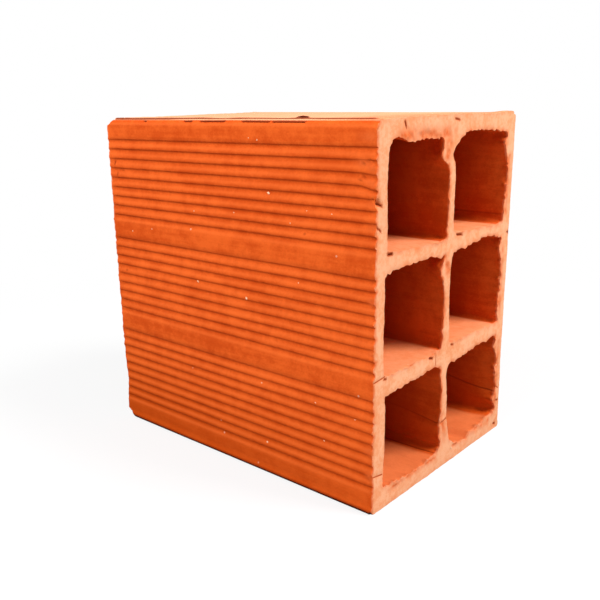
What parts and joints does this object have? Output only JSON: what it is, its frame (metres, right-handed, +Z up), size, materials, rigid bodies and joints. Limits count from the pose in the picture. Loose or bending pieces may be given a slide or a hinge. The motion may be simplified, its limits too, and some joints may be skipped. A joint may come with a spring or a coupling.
{
  "type": "hollow clay brick",
  "caption": "Fired clay wall brick with horizontal rectangular cells, grooved tall sides for plaster, smooth bed faces and wire-cut ends.",
  "frame": {"origin": "centre of the smooth lower bed face, where the brick rests on the course below", "axes": "+X along the cells, from one cut end to the other; +Y across the brick, out of a grooved side; +Z up"},
  "size_m": [0.19, 0.135, 0.19],
  "materials": {
    "fired_clay": "unglazed, rough, orange-red, paler on the cut ends"
  },
  "bodies": {
    "root": {"hollow_brick": "fired_clay"}
  },
  "joints": []
}
